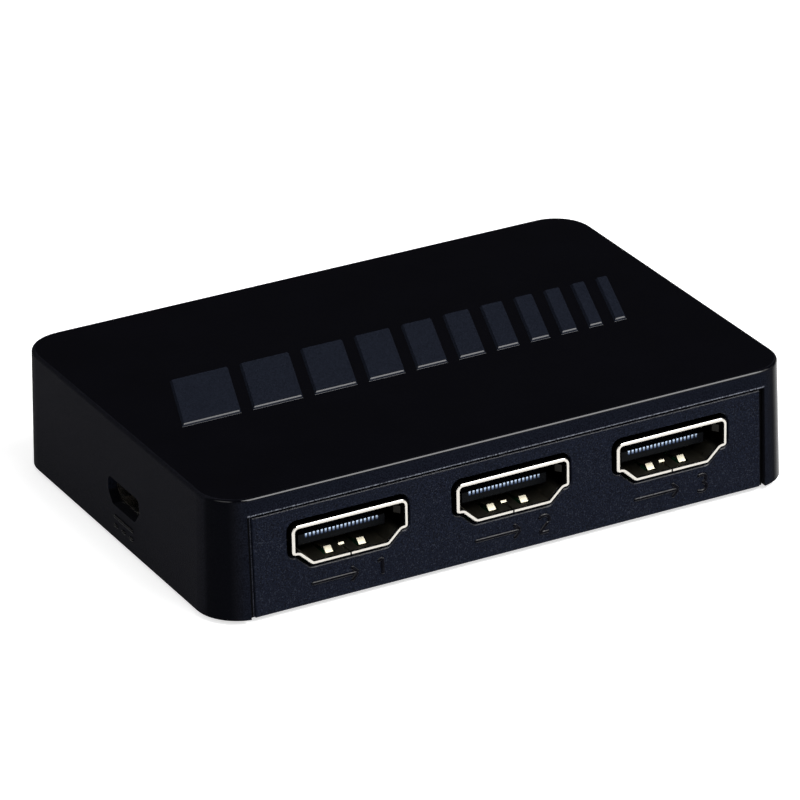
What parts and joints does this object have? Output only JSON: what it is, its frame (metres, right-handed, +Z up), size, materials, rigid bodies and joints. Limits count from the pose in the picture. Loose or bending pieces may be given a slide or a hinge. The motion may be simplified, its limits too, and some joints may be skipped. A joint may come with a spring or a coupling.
{
  "type": "video switch box",
  "caption": "Flat rounded black box with a row of wide video sockets in a recessed front panel, a power socket in one end, and an output and a push button behind.",
  "frame": {"origin": "on the table at the middle of the footprint, under the four feet", "axes": "+X along the row of input sockets, which face -Y; +Z up"},
  "size_m": [0.0758, 0.0528, 0.0157],
  "materials": {
    "gloss_shell": "polished black moulding",
    "matt_shell": "fine spark-eroded black moulding",
    "zinc_screw": "zinc-plated steel",
    "foot_rubber": "matt black rubber",
    "board_laminate": "green solder mask on glass laminate",
    "button_plastic": "satin black moulding",
    "socket_steel": "nickel-plated stamped steel",
    "socket_insulator": "black glass-filled moulding",
    "contact_metal": "tin-plated copper alloy",
    "clear_guide": "clear acrylic moulding",
    "lamp_lens": "pale diffusing resin",
    "chip_plastic": "black moulding compound",
    "ceramic_part": "fired ceramic with tinned ends"
  },
  "bodies": {
    "housing": {"board_screws": "zinc_screw", "bottom_tray": "matt_shell", "case_screws": "zinc_screw", "chip_capacitors": "ceramic_part", "chip_resistors": "chip_plastic", "control_chip": "chip_plastic", "control_chip_pins": "contact_metal", "indicator_lamps": "lamp_lens", "input_socket_1_contacts": "contact_metal", "input_socket_1_insulator": "socket_insulator", "input_socket_1_shell": "socket_steel", "input_socket_2_contacts": "contact_metal", "input_socket_2_insulator": "socket_insulator", "input_socket_2_shell": "socket_steel", "input_socket_3_contacts": "contact_metal", "input_socket_3_insulator": "socket_insulator", "input_socket_3_shell": "socket_steel", "light_guide": "clear_guide", "main_board": "board_laminate", "output_socket_contacts": "contact_metal", "output_socket_insulator": "socket_insulator", "output_socket_shell": "socket_steel", "power_socket_contacts": "contact_metal", "power_socket_insulator": "socket_insulator", "power_socket_shell": "socket_steel", "regulator_pins": "contact_metal", "rubber_feet": "foot_rubber", "surge_arrays": "chip_plastic", "switch_body": "chip_plastic", "switch_chip": "chip_plastic", "switch_chip_pins": "contact_metal", "switch_cover": "socket_steel", "switch_dome": "socket_steel", "switch_terminals": "contact_metal", "top_cover": "gloss_shell", "voltage_regulator": "chip_plastic"},
    "button": {"select_button": "button_plastic", "switch_plunger": "button_plastic"}
  },
  "joints": [
    {"name": "select_button_press", "type": "slide", "parent": "housing", "child": "button", "axis": [0, -1, 0], "range_m": [0, 0.0003], "stiffness_N_per_m": 5000, "deforming": ["switch_dome"]}
  ]
}
